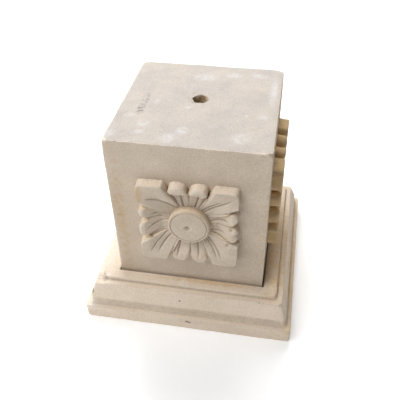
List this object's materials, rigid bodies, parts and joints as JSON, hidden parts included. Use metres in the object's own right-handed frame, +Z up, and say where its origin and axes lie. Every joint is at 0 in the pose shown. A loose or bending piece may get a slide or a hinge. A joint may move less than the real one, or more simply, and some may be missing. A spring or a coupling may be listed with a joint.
{
  "type": "stone pedestal",
  "caption": "Square stone pedestal: a block with a square leaf flower carved on each side and a drilled hole in its top, standing in the recess of a moulded base.",
  "frame": {"origin": "middle of the underside of the base", "axes": "+Z up; the front, with the flower that the picture shows, faces -Y; +X is to the right seen from the front"},
  "size_m": [0.2916, 0.2844, 0.2857],
  "materials": {
    "base_stone": "fine-grained pale stone, dressed, with worn edges",
    "block_stone": "fine-grained pale stone, dressed and carved, with worn edges"
  },
  "bodies": {
    "root": {"base": "base_stone", "block": "block_stone"}
  },
  "joints": []
}
